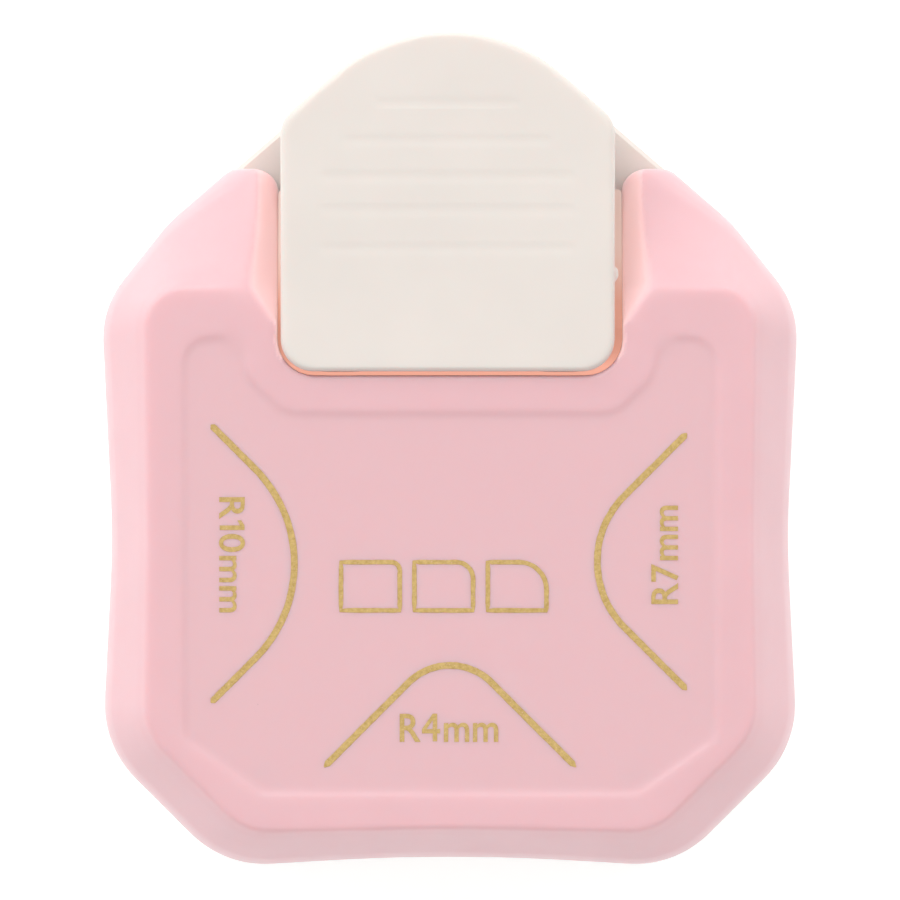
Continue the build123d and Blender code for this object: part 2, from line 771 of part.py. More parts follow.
# ---------------------------------------------------------------- hinge brackets
bracket_inner_x = 13.9
bracket_outer_x = 15.9
bracket_end_x = 19.6
bracket_size = 5.6
foot_thick = 2.0
foot_z = bracket_boss_z - foot_thick
for name, side in (("left", -1), ("right", 1)):
    with BuildPart() as bracket:
        with BuildSketch(Plane.YZ.offset(side * (bracket_inner_x + bracket_outer_x) / 2)):
            with Locations((pivot_y, pivot_z)):
                RectangleRounded(bracket_size, bracket_size, 2.0)
                Circle(hinge_pin_r, mode=Mode.SUBTRACT)
        extrude(amount=(bracket_outer_x - bracket_inner_x) / 2, both=True)
        with Locations((side * (bracket_outer_x + bracket_end_x) / 2, pivot_y, foot_z)):
            Box(bracket_end_x - bracket_outer_x, bracket_size, foot_thick, align=upwards)
        with Locations((side * bracket_screw_x, pivot_y, foot_z)):
            Cylinder(bracket_screw_r + 0.1, foot_thick, align=upwards, mode=Mode.SUBTRACT)
    bracket.part.label = "hinge_bracket_" + name
    export_step(bracket.part, "parts/hinge_bracket_" + name + ".step")

# ---------------------------------------------------------------- pan head screws, driven from below
bracket_screw_places = [(-bracket_screw_x, pivot_y), (bracket_screw_x, pivot_y)]
bracket_screw_end_z = bracket_boss_z + bracket_pilot_depth - 0.1
case_screw_end_z = deck_z + case_pilot_depth - 0.5
screw_head_thick = 1.4
for name, places, shank_r, head_r, head_top_z, end_z in (
    ("bracket_screws", bracket_screw_places, bracket_screw_r, 1.75, foot_z, bracket_screw_end_z),
    ("case_screws", case_screw_places, case_screw_r, screw_head_r, case_screw_seat_z,
     case_screw_end_z),
):
    with BuildPart() as screws:
        for x, y in places:
            with Locations((x, y, head_top_z)):
                Cylinder(shank_r, end_z - head_top_z, align=upwards)
                Cylinder(head_r, screw_head_thick, align=downwards)
            with Locations((x, y, head_top_z - screw_head_thick)):
                Box(1.3 * head_r, 0.5, 1.2, mode=Mode.SUBTRACT)
                Box(0.5, 1.3 * head_r, 1.2, mode=Mode.SUBTRACT)
    screws.part.label = name
    export_step(screws.part, "parts/" + name + ".step")
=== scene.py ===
import json
from math import cos, hypot, pi, radians, sin
from random import Random

import bmesh
import bpy
import numpy as np
from mathutils import Matrix, Vector


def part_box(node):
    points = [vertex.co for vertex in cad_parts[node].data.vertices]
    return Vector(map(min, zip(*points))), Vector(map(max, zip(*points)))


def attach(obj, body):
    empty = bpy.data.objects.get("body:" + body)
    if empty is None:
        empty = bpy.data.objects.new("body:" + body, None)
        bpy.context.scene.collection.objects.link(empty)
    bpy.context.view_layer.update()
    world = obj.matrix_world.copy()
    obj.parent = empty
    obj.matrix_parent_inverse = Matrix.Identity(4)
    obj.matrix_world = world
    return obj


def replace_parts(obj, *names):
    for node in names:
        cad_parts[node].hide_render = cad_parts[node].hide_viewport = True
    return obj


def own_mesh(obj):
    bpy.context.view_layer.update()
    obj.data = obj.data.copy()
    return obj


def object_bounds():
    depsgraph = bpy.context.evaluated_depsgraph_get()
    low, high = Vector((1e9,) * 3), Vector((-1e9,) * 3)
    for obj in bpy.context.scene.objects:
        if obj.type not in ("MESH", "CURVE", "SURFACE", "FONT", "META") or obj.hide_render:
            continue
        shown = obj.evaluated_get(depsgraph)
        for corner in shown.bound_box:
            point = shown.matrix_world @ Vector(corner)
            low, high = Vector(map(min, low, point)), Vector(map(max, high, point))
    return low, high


# A three-way corner rounder: a pink case over a cream deck and base, with a cream lever and a
# gold print. The frame brings the parts. This script softens the two mouldings that show most,
# adds the lever's rim, the print and the springs, and gives every piece its material.

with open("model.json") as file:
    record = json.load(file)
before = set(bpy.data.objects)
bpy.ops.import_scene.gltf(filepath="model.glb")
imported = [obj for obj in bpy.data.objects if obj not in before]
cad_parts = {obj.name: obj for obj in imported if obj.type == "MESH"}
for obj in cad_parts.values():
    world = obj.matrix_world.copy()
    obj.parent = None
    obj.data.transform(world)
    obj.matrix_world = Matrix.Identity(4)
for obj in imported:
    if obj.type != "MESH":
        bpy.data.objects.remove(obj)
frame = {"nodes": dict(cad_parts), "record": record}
cad_low, cad_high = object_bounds()
nodes = frame["nodes"]

MM = 0.001


# ------------------------------------------------------------------ materials
def material_tree(name):
    """A new material, its node tree and its Principled shader."""
    material = bpy.data.materials.new(name)
    material.use_nodes = True
    tree = material.node_tree
    return material, tree, tree.nodes["Principled BSDF"]


def place_vector(tree, stretch=(1, 1, 1)):
    """Places on the object in metres, stretched if asked."""
    place = tree.nodes.new("ShaderNodeTexCoord")
    mapping = tree.nodes.new("ShaderNodeMapping")
    mapping.inputs["Scale"].default_value = stretch
    tree.links.new(place.outputs["Object"], mapping.inputs["Vector"])
    return mapping.outputs["Vector"]


def noise(tree, vector, size_mm, detail=2.0, roughness=0.5):
    """Noise whose lumps are about size_mm across, from 0 to 1."""
    texture = tree.nodes.new("ShaderNodeTexNoise")
    texture.inputs["Scale"].default_value = 1.0 / (size_mm * MM)
    texture.inputs["Detail"].default_value = detail
    texture.inputs["Roughness"].default_value = roughness
    tree.links.new(vector, texture.inputs["Vector"])
    return texture.outputs["Fac"]


def spread(tree, value, low, high, from_low=0.3, from_high=0.7):
    """The value moved from its own range to a new one."""
    remap = tree.nodes.new("ShaderNodeMapRange")
    remap.inputs["From Min"].default_value = from_low
    remap.inputs["From Max"].default_value = from_high
    remap.inputs["To Min"].default_value = low
    remap.inputs["To Max"].default_value = high
    tree.links.new(value, remap.inputs["Value"])
    return remap.outputs["Result"]


def mixed(tree, share, first, second):
    """Two colours mixed by a share. Each is a socket or a colour."""
    mix = tree.nodes.new("ShaderNodeMix")
    mix.data_type = "RGBA"
    tree.links.new(share, mix.inputs["Factor"])
    for name, colour in (("A", first), ("B", second)):
        socket = next(s for s in mix.inputs if s.name == name and s.type == "RGBA")
        if isinstance(colour, bpy.types.NodeSocket):
            tree.links.new(colour, socket)
        else:
            socket.default_value = (*colour, 1)
    return next(s for s in mix.outputs if s.type == "RGBA")


def bump(tree, height, distance_mm, strength, before=None):
    """A normal from a height, laid over an earlier one."""
    node = tree.nodes.new("ShaderNodeBump")
    node.inputs["Distance"].default_value = distance_mm * MM
    node.inputs["Strength"].default_value = strength
    tree.links.new(height, node.inputs["Height"])
    if before is not None:
        tree.links.new(before, node.inputs["Normal"])
    return node.outputs["Normal"]


def specks(tree, vector, pitch_mm=6.0, radius_mm=0.13, strength=0.9):
    """A few specks of dust and pigment: one in each of some of the texture's cells."""
    cells = tree.nodes.new("ShaderNodeTexVoronoi")
    cells.inputs["Scale"].default_value = 1.0 / (pitch_mm * MM)
    tree.links.new(vector, cells.inputs["Vector"])
    radius = radius_mm / pitch_mm
    core = 0.6 * radius
    spot = spread(tree, cells.outputs["Distance"], strength, 0.0, from_low=core, from_high=radius)
    lot = tree.nodes.new("ShaderNodeSeparateColor")
    tree.links.new(cells.outputs["Color"], lot.inputs["Color"])
    chosen = spread(tree, lot.outputs["Red"], 0.0, 1.0, from_low=0.55, from_high=0.95)
    both = tree.nodes.new("ShaderNodeMath")
    both.operation = "MULTIPLY"
    tree.links.new(spot, both.inputs[0])
    tree.links.new(chosen, both.inputs[1])
    return both.outputs["Value"]


def shade(colour, factor):
    """A colour made lighter or darker."""
    return tuple(min(c * factor, 1.0) for c in colour)


def moulded_plastic(name, colour, roughness, grain, inner_light, panel_tone_and_painted_shade=None, glow=None):
    """Moulded plastic: faint clouding and a fine tool texture. A second colour follows a mesh
    attribute: on the case the print panel's own pink, on the rim a painted tan shade. The glow is
    painted light: emission where the mesh's glow attribute says, for light that a thin wall
    carries."""
    material, tree, shader = material_tree(name)
    where = place_vector(tree)
    cloud = spread(tree, noise(tree, where, size_mm=9.0), 0.0, 1.0)
    surface = mixed(tree, cloud, shade(colour, 0.985), shade(colour, 1.012))
    # second colour: the print panel's own pink on the case, a painted tan shade on the rim
    if panel_tone_and_painted_shade:
        share = tree.nodes.new("ShaderNodeAttribute")
        share.attribute_name = "panel_tone_and_painted_shade"
        surface = mixed(tree, share.outputs["Fac"], surface, panel_tone_and_painted_shade)
    surface = mixed(tree, specks(tree, where), surface, shade(colour, 0.72))
    tree.links.new(surface, shader.inputs["Base Color"])
    # painted light: the plastic glows where the glow attribute says, though it is no lamp
    if glow:
        painted_glow_share = tree.nodes.new("ShaderNodeAttribute")
        painted_glow_share.attribute_name = "glow"
        tree.links.new(painted_glow_share.outputs["Fac"], shader.inputs["Emission Strength"])
        shader.inputs["Emission Color"].default_value = (*glow, 1)
    wear = noise(tree, where, size_mm=4.0, detail=4.0, roughness=0.6)
    tree.links.new(
        spread(tree, wear, roughness * 0.88, roughness * 1.14), shader.inputs["Roughness"]
    )
    texture = noise(tree, where, size_mm=0.16, detail=3.0)
    fine = bump(tree, texture, distance_mm=0.004, strength=grain)
    waves = noise(tree, where, size_mm=7.0, detail=1.0)
    slow = bump(tree, waves, distance_mm=0.05, strength=0.06, before=fine)
    tree.links.new(slow, shader.inputs["Normal"])
    shader.inputs["IOR"].default_value = 1.49
    shader.inputs["Subsurface Weight"].default_value = inner_light
    shader.inputs["Subsurface Radius"].default_value = (1.0, 0.5, 0.42)
    shader.inputs["Subsurface Scale"].default_value = 2.0 * MM
    return material


def metal(name, colour, roughness, brush_axis=None):
    """Steel or brass with fine scratches, along an axis if it was ground."""
    material, tree, shader = material_tree(name)
    stretch = [1.0, 1.0, 1.0]
    if brush_axis is not None:
        stretch[brush_axis] = 0.06
    lines = noise(
        tree, place_vector(tree, stretch), size_mm=0.22, detail=4.0, roughness=0.65
    )
    blotch = noise(tree, place_vector(tree), size_mm=3.5, detail=3.0)
    surface = mixed(tree, blotch, shade(colour, 0.88), shade(colour, 1.06))
    tree.links.new(surface, shader.inputs["Base Color"])
    tree.links.new(
        spread(tree, lines, roughness * 0.75, roughness * 1.3), shader.inputs["Roughness"]
    )
    scratched = bump(tree, lines, distance_mm=0.006, strength=0.35)
    tree.links.new(scratched, shader.inputs["Normal"])
    shader.inputs["Metallic"].default_value = 1.0
    return material


def stamped_gold(name):
    """Hot stamped foil: matt gold with missing grains that let the pink through."""
    material, tree, shader = material_tree(name)
    where = place_vector(tree)
    patches = noise(tree, where, size_mm=0.35, detail=3.0, roughness=0.7)
    tone = spread(tree, patches, 0.0, 1.0)
    foil = mixed(tree, tone, gold_dark, gold_light)
    grains = noise(tree, where, size_mm=0.12, detail=1.0)
    gap = spread(tree, grains, 0.0, 0.7, from_low=0.64, from_high=0.74)
    tree.links.new(mixed(tree, gap, foil, pink_panel), shader.inputs["Base Color"])
    dullness = noise(tree, where, size_mm=0.2, detail=2.0)
    tree.links.new(spread(tree, dullness, 0.38, 0.62), shader.inputs["Roughness"])
    crumple = noise(tree, where, size_mm=0.15, detail=3.0)
    uneven = bump(tree, crumple, distance_mm=0.01, strength=0.4)
    tree.links.new(uneven, shader.inputs["Normal"])
    shader.inputs["Metallic"].default_value = 0.35
    return material


# colours, as linear red, green and blue
pink = (0.77, 0.48, 0.51)
pink_panel = (0.755, 0.478, 0.505)
cream = (0.77, 0.71, 0.66)
# painted light: the glow of the horns' leaning walls
painted_glow_coral = (0.25, 0.205, 0.18)
# painted shade and painted light of the gap round the lever: the rim's coral, its tan and its glow
painted_shade_gap_coral = (0.50, 0.24, 0.17)
painted_shade_gap_tan = (0.60, 0.51, 0.46)
painted_glow_gap = (0.70, 0.35, 0.26)
gold_dark = (0.46, 0.30, 0.085)
gold_light = (0.66, 0.465, 0.175)
carrier_grey = (0.19, 0.20, 0.21)

# the case's pink, with a painted glow on the horns' leaning walls
case_plastic = moulded_plastic(
    "case_plastic",
    pink,
    roughness=0.34,
    grain=0.25,
    inner_light=0.6,
    panel_tone_and_painted_shade=pink_panel,
    glow=painted_glow_coral,
)
lever_plastic = moulded_plastic(
    "lever_plastic", cream, roughness=0.38, grain=0.35, inner_light=0.25
)
# the rim's plastic: painted coral and tan shade, with a painted glow
rim_painted_light_plastic = moulded_plastic(
    "rim_painted_light_plastic",
    painted_shade_gap_coral,
    roughness=0.5,
    grain=0.35,
    inner_light=0.0,
    panel_tone_and_painted_shade=painted_shade_gap_tan,
    glow=painted_glow_gap,
)
base_plastic = moulded_plastic(
    "base_plastic", cream, roughness=0.42, grain=0.35, inner_light=0.25
)
carrier_plastic = moulded_plastic(
    "carrier_plastic", carrier_grey, roughness=0.5, grain=0.5, inner_light=0.0
)
ground_steel = metal("ground_steel", (0.56, 0.56, 0.57), roughness=0.30, brush_axis=0)
plated_steel = metal("plated_steel", (0.68, 0.68, 0.68), roughness=0.34)
spring_wire = metal("spring_wire", (0.60, 0.60, 0.60), roughness=0.25)
gold_foil = stamped_gold("gold_foil")


# ------------------------------------------------------------------ mesh helpers
def new_object(name, mesh, material):
    """An object of the scene with one material."""
    piece = bpy.data.objects.new(name, mesh)
    bpy.context.scene.collection.objects.link(piece)
    mesh.materials.clear()
    mesh.materials.append(material)
    return piece


def smooth_shaded(mesh):
    mesh.polygons.foreach_set("use_smooth", [True] * len(mesh.polygons))


def relaxed(piece, name, rounds, group=""):
    """The piece's mesh smoothed by some rounds, in a vertex group if one is named."""
    relax = piece.modifiers.new(name, "SMOOTH")
    relax.vertex_group = group
    relax.factor = 0.5
    relax.iterations = rounds
    depsgraph = bpy.context.evaluated_depsgraph_get()
    piece.data = bpy.data.meshes.new_from_object(piece.evaluated_get(depsgraph))
    piece.modifiers.clear()


def softened(node, name, material, voxel_mm, rounds, worn=None, worn_rounds=0):
    """A CAD moulding remeshed evenly and relaxed, so that all its edges are rounded as cast.
    The vertices that worn picks, from places in mm, are relaxed for some more rounds."""
    mesh = nodes[node].data.copy()
    shape = bmesh.new()
    shape.from_mesh(mesh)
    bmesh.ops.remove_doubles(shape, verts=shape.verts, dist=0.001 * MM)
    shape.to_mesh(mesh)
    shape.free()
    mesh.transform(Matrix.Scale(1 / MM, 4))
    piece = new_object(name, mesh, material)
    remesh = piece.modifiers.new("remesh", "REMESH")
    remesh.mode = "VOXEL"
    remesh.voxel_size = voxel_mm
    relaxed(piece, "relax", rounds)
    if worn:
        places, _ = vertex_arrays(piece.data)
        group = piece.vertex_groups.new(name="worn")
        for index in np.nonzero(worn(places))[0]:
            group.add([int(index)], 1.0, "REPLACE")
        relaxed(piece, "relax_worn", worn_rounds, "worn")
    piece.data.transform(Matrix.Scale(MM, 4))
    piece.data.materials.clear()
    piece.data.materials.append(material)
    smooth_shaded(piece.data)
    return piece


def vertex_arrays(mesh):
    """Places and normals of a mesh's vertices."""
    places = np.empty(len(mesh.vertices) * 3)
    normals = np.empty(len(mesh.vertices) * 3)
    mesh.vertices.foreach_get("co", places)
    mesh.vertices.foreach_get("normal", normals)
    return places.reshape(-1, 3), normals.reshape(-1, 3)


def ribbon(name, line, width_mm, height, thick_mm, closed=False, seed=1):
    """A flat stroke along a line of places in mm, with slightly uneven edges as stamping leaves."""
    chance = Random(seed)
    unevenness = 0.02
    thinnest_end = 0.04
    shape = bmesh.new()
    rows = []
    count = len(line)
    for i, (x, y) in enumerate(line):
        ahead = line[(i + 1) % count] if closed else line[min(i + 1, count - 1)]
        behind = line[i - 1] if closed or i else line[0]
        dx, dy = ahead[0] - behind[0], ahead[1] - behind[1]
        run = hypot(dx, dy)
        side = (-dy / run, dx / run)
        half = width_mm / 2
        if not closed:
            # round ends
            inward = min(hypot(x - end[0], y - end[1]) for end in (line[0], line[-1]))
            if inward < half:
                half *= max(1 - (1 - inward / half) ** 2, thinnest_end) ** 0.5
        row = []
        for reach, z in ((-1, 0), (-0.92, 1), (0.92, 1), (1, 0)):
            edge = reach * half + chance.uniform(-unevenness, unevenness)
            place = (x + side[0] * edge, y + side[1] * edge)
            row.append(
                shape.verts.new((place[0] * MM, place[1] * MM, height + z * thick_mm * MM))
            )
        rows.append(row)
    pairs = list(zip(rows, rows[1:])) + ([(rows[-1], rows[0])] if closed else [])
    for near, far in pairs:
        for k in range(4):
            m = (k + 1) % 4
            shape.faces.new((near[k], near[m], far[m], far[k]))
    if not closed:
        shape.faces.new(rows[0])
        shape.faces.new(reversed(rows[-1]))
    bmesh.ops.recalc_face_normals(shape, faces=shape.faces)
    mesh = bpy.data.meshes.new(name)
    shape.to_mesh(mesh)
    shape.free()
    return new_object(name, mesh, gold_foil)


def on_root(piece):
    """The piece belongs to the fixed body."""
    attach(piece, "root")
    return piece


# ------------------------------------------------------------------ case and lever
case_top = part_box("top_case")[1].z
panel_depth = 0.25 * MM
panel_floor = case_top - panel_depth

# the panel's room in plan, in mm: half its width, half its length and where its middle is
panel_half_width = 26
panel_half_length = 22.6
panel_middle_y = -11

notch_half = 16.5            # half the width of the notch for the lever, in mm
flat_enough = 0.8            # the least upward normal of a face that counts as level

# the case's voxels, in mm, its rounds of relaxing, and those of the ridges beside the lever
case_voxel = 0.3
case_rounds = 6
ridge_rounds = 30
# the ridges' room: the farthest across, the nearest along and the lowest, in mm
ridge_reach = 21.5
ridge_front = 9
ridge_foot = 15

# the leaning walls' painted glow, in mm: the farthest across, the nearest along, and the height
# where it starts and over which it grows. It also grows with the normal's lean towards the lever.
glow_reach = 20.5
glow_front = 7.5
glow_foot = 16
glow_rise = 6
lean_start = 0.15
lean_range = 0.45

# the lever's voxels, in mm, and its rounds of relaxing
lever_voxel = 0.25
lever_rounds = 2
# the face of the lever's pad, in mm: its height at its front edge, and its slope
pad_front_y = 7.5
pad_front_z = 30.5
pad_slope = 0.08
# what counts as a groove's floor, in mm: how far it may lie below the face and across from the
# middle. Last, the share of its depth that is worn away.
groove_deepest = 0.14
groove_half = 13
groove_wear = 0.55


def beside_lever(places):
    """The ridges between the horns' flanks and their leaning walls. Places are in mm."""
    across = np.abs(places[:, 0])
    between = (across > notch_half + 0.2) & (across < ridge_reach)
    return between & (places[:, 1] > ridge_front) & (places[:, 2] > ridge_foot)


def give_share(mesh, name, share):
    """A number for each vertex, which a material reads by its name."""
    attribute = mesh.attributes.new(name, "FLOAT", "POINT")
    attribute.data.foreach_set("value", share.astype(np.float32))


case_shell = softened(
    "top_case", "case_shell", case_plastic, case_voxel, case_rounds, beside_lever, ridge_rounds
)
places, normals = vertex_arrays(case_shell.data)
# the print panel has its own pink, as far as it is sunk
in_panel = np.abs(places[:, 0]) < panel_half_width * MM
in_panel &= np.abs(places[:, 1] - panel_middle_y * MM) < panel_half_length * MM
in_panel &= (normals[:, 2] > flat_enough) & (places[:, 2] > panel_floor - 0.2 * MM)
sunk = np.clip((case_top - places[:, 2]) / panel_depth, 0, 1)
give_share(case_shell.data, "panel_tone_and_painted_shade", np.where(in_panel, sunk, 0))
# painted light: the horns' leaning walls glow, standing in for the light they carry to the gap
# beside the lever
across = np.abs(places[:, 0]) / MM
beside = (across > notch_half - 0.5) & (across < glow_reach) & (places[:, 1] > glow_front * MM)
inward = -normals[:, 0] * np.sign(places[:, 0])
leaning = np.clip((inward - lean_start) / lean_range, 0, 1)
raised = np.clip((places[:, 2] / MM - glow_foot) / glow_rise, 0, 1)
give_share(case_shell.data, "glow", np.where(beside, leaning * raised, 0))
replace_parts(on_root(case_shell), "top_case")

lever_skin = softened("lever", "lever_skin", lever_plastic, lever_voxel, lever_rounds)
# the grooves' floors are worn up towards the pad's face, a plane that rises to the tip
places, normals = vertex_arrays(lever_skin.data)
face_z = (pad_front_z + pad_slope * (places[:, 1] / MM - pad_front_y)) * MM
depth = face_z - places[:, 2]
in_groove = (depth > 0) & (depth < groove_deepest * MM) & (normals[:, 2] > flat_enough)
in_groove &= np.abs(places[:, 0]) < groove_half * MM
places[:, 2] += np.where(in_groove, groove_wear * depth, 0)
lever_skin.data.vertices.foreach_set("co", places.ravel())
lever_skin.data.update()
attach(lever_skin, "lever")
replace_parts(lever_skin, "lever")


# the rim's fall, its painted glow and its change from painted coral shade to painted tan shade:
# places from front to rear, in mm, and there the fall in mm or the share
rim_drop_y = [12.2, 15.5, 25.0]
rim_drop = [0.0, 2.3, 7.0]
rim_glow_y = [8.0, 9.5, 11.0, 25.0]
rim_glow_share = [1.0, 0.52, 0.42, 0.22]
rim_painted_tan_y = [14.0, 19.0]
rim_painted_tan_share = [0.0, 1.0]
rim_front_radius = 3.5
rim_rear_radius = 0.4
rim_rows = 20                # rows of faces along the rim, so that it can bend


def cut_across(mesh, y):
    """A row of new edges across a mesh, at one y."""
    shape = bmesh.new()
    shape.from_mesh(mesh)
    everything = list(shape.verts) + list(shape.edges) + list(shape.faces)
    bmesh.ops.bisect_plane(shape, geom=everything, plane_co=(0, y, 0), plane_no=(0, 1, 0))
    shape.to_mesh(mesh)
    shape.free()


def rounded_plate(name, low, high, front_radius, rear_radius, material):
    """A flat plate between two corners, with rounded upright edges. The radii are in mm."""
    shape = bmesh.new()
    rear, front = rear_radius * MM, front_radius * MM
    # each corner's middle, its radius and the direction in which it starts to turn
    corners = [
        (high.x - rear, high.y - rear, rear, 0),
        (low.x + rear, high.y - rear, rear, 90),
        (low.x + front, low.y + front, front, 180),
        (high.x - front, low.y + front, front, 270),
    ]
    corner_steps = 8
    outline = []
    for x, y, radius, start in corners:
        for step in range(corner_steps + 1):
            turn = radians(start + 90 * step / corner_steps)
            outline.append((x + radius * cos(turn), y + radius * sin(turn)))
    rings = [[shape.verts.new((x, y, z)) for x, y in outline] for z in (low.z, high.z)]
    for m in range(len(outline)):
        n = (m + 1) % len(outline)
        shape.faces.new((rings[0][m], rings[0][n], rings[1][n], rings[1][m]))
    shape.faces.new(rings[1])
    shape.faces.new(reversed(rings[0]))
    bmesh.ops.recalc_face_normals(shape, faces=shape.faces)
    mesh = bpy.data.meshes.new(name)
    shape.to_mesh(mesh)
    shape.free()
    return new_object(name, mesh, material)


# The lever's rim closes the gap round the pad, a little way down. Its coral and tan are painted
# shade and its glow painted light, for the light that comes through the case. The glow fades
# towards the horns' ends. With the lever pressed, the rim's rear end stays above the deck.
rim_low = Vector((-notch_half + 0.05, 7.14, 27.3)) * MM
rim_high = Vector((notch_half - 0.05, 25.0, 27.75)) * MM
rim = rounded_plate(
    "lever_rim", rim_low, rim_high, rim_front_radius, rim_rear_radius, rim_painted_light_plastic
)
for row in range(1, rim_rows):
    cut_across(rim.data, rim_low.y + (rim_high.y - rim_low.y) * row / rim_rows)
places, _ = vertex_arrays(rim.data)
along = places[:, 1] / MM
# towards the rear it goes down with the horns, so that it stays behind them from the side
places[:, 2] -= np.interp(along, rim_drop_y, rim_drop) * MM
rim.data.vertices.foreach_set("co", places.ravel())
rim.data.update()
# painted light and shade: the rim's glow, and its coral turning to a painted tan shade
give_share(rim.data, "glow", np.interp(along, rim_glow_y, rim_glow_share))
give_share(rim.data, "panel_tone_and_painted_shade", np.interp(along, rim_painted_tan_y, rim_painted_tan_share))
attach(rim, "lever")

# ------------------------------------------------------------------ gold print
print_width = 0.65           # the guide lines, in mm
sheet_line_width = 0.45      # the small sheets' outlines, in mm
print_thick = 0.03           # in mm
print_height = panel_floor - 0.004 * MM
# the gaps after a letter, in the font's units: in general, and after some letters
letter_gap = 0.10
letter_gaps = {"R": 0.03}


def guide_line(tip, radius, heading, arm, arm_steps=24, arc_steps=32):
    """A line, a quarter arc and a line, in mm. The tip is the arc's middle, heading degrees
    from the arc's centre."""
    centre = Vector(tip) - radius * Vector((cos(radians(heading)), sin(radians(heading))))
    line = []
    for side in (-1, 1):
        turn = radians(heading + side * 45)
        end = centre + radius * Vector((cos(turn), sin(turn)))
        along = side * Vector((-sin(turn), cos(turn)))
        steps = [end + along * arm * k / arm_steps for k in range(arm_steps + 1)]
        line.append(steps)
    arc = []
    for k in range(1, arc_steps):
        turn = radians(heading - 45 + 90 * k / arc_steps)
        arc.append(centre + radius * Vector((cos(turn), sin(turn))))
    return list(reversed(line[0])) + arc + line[1]


# name, the arc's middle, its radius, its heading and the length of the two arms
guide_lines = [
    ("print_line_r10", (-14.85, -10.85), 12.8, 0, 5.95),
    ("print_line_r7", (14.05, -10.65), 8.9, 180, 8.4),
    ("print_line_r4", (0.0, -20.55), 5.6, 90, 11.4),
]
for seed, (name, tip, radius, heading, arm) in enumerate(guide_lines):
    line = guide_line(tip, radius, heading, arm)
    on_root(ribbon(name, line, print_width, print_height, print_thick, seed=seed))


# two figures drawn from four-sided strokes, in the font's units
figure_strokes = {
    "1": [
        [(0.13, 0.0), (0.25, 0.0), (0.25, 0.69), (0.13, 0.69)],
        [(0.0, 0.49), (0.13, 0.56), (0.13, 0.69), (0.0, 0.6)],
    ],
    "4": [
        [(0.29, 0.0), (0.41, 0.0), (0.41, 0.2), (0.29, 0.2)],
        [(0.0, 0.2), (0.49, 0.2), (0.49, 0.31), (0.0, 0.31)],
        [(0.29, 0.31), (0.41, 0.31), (0.41, 0.7), (0.29, 0.7)],
        [(0.0, 0.31), (0.12, 0.31), (0.29, 0.53), (0.29, 0.7)],
    ],
}


def letter(character):
    """A letter as a flat mesh, in the font's units."""
    if character in figure_strokes:
        shape = bmesh.new()
        for stroke in figure_strokes[character]:
            shape.faces.new([shape.verts.new((x, y, 0)) for x, y in stroke])
        mesh = bpy.data.meshes.new("letter")
        shape.to_mesh(mesh)
        shape.free()
        return mesh
    curve = bpy.data.curves.new("letter", "FONT")
    curve.body = character
    curve.offset = 0.014
    curve.resolution_u = 6
    words = bpy.data.objects.new("letter", curve)
    bpy.context.scene.collection.objects.link(words)
    depsgraph = bpy.context.evaluated_depsgraph_get()
    mesh = bpy.data.meshes.new_from_object(words.evaluated_get(depsgraph))
    bpy.data.objects.remove(words)
    return mesh


def label(name, text, middle, turn, length, height):
    """A size label in plain letters, evenly spaced, as flat foil. Sizes in mm."""
    whole = bmesh.new()
    pen = 0.0
    for character in text:
        mesh = letter(character)
        across = [vertex.co.x for vertex in mesh.vertices]
        mesh.transform(Matrix.Translation((pen - min(across), 0, 0)))
        pen += max(across) - min(across) + letter_gaps.get(character, letter_gap)
        whole.from_mesh(mesh)
        bpy.data.meshes.remove(mesh)
    heights = [vertex.co.y for vertex in whole.verts]
    lowest = min(heights)
    tall = max(heights) - lowest
    long = pen - letter_gaps.get(text[-1], letter_gap)
    centred = Matrix.Translation((-long / 2, -lowest - tall / 2, 0))
    sized = Matrix.Diagonal((length * MM / long, height * MM / tall, 1, 1))
    turned = Matrix.Rotation(radians(turn), 4, "Z")
    top = print_height + print_thick * MM
    placed = Matrix.Translation((middle[0] * MM, middle[1] * MM, top))
    whole.transform(placed @ turned @ sized @ centred)
    mesh = bpy.data.meshes.new(name)
    whole.to_mesh(mesh)
    whole.free()
    return new_object(name, mesh, gold_foil)


# text, where its middle is, how it is turned, its length and its letters' height
labels = [
    ("R10mm", (-20.8, -10.0), -90, 11.0, 2.5),
    ("R7mm", (20.5, -10.0), 90, 9.4, 2.6),
    ("R4mm", (-0.1, -26.5), 0, 9.4, 2.7),
]
for text, middle, turn, length, height in labels:
    name = "print_label_" + text.removesuffix("mm").lower()
    on_root(label(name, text, middle, turn, length, height))


sheet_steps = 8              # steps along each side and round each corner of a small sheet


def even_steps(corners, first, last):
    """Places along straight runs between corners. In each run they go from step first up to
    but not including step last."""
    line = []
    for start, end in zip(corners, corners[1:]):
        for k in range(first, last):
            x = start[0] + (end[0] - start[0]) * k / sheet_steps
            y = start[1] + (end[1] - start[1]) * k / sheet_steps
            line.append((x, y))
    return line


def sheet_outline(middle, width, height, radius):
    """A small sheet with its upper right corner rounded, in mm."""
    x, y = middle
    left, right = x - width / 2, x + width / 2
    low, high = y - height / 2, y + height / 2
    corners = [(left, low), (right, low), (right, high - radius)]
    line = even_steps(corners, 0, sheet_steps)
    for k in range(sheet_steps + 1):
        turn = pi / 2 * k / sheet_steps
        line.append((right - radius + radius * cos(turn), high - radius + radius * sin(turn)))
    corners = [(right - radius, high), (left, high), (left, low)]
    line += even_steps(corners, 1, sheet_steps + 1)
    return line[:-1]


# the small sheets, in mm: the first one's middle, their pitch, their size and corner radii
first_sheet_x, sheets_y = -7.6, -13.0
sheet_pitch = 7.0
sheet_width, sheet_height = 5.6, 4.6
for k, radius in enumerate((0.8, 1.6, 2.6)):
    middle = (first_sheet_x + sheet_pitch * k, sheets_y)
    outline = sheet_outline(middle, sheet_width, sheet_height, radius)
    name = f"print_sheet_{k + 1}"
    seed = 10 + k
    sheet = ribbon(name, outline, sheet_line_width, print_height, print_thick, True, seed)
    on_root(sheet)


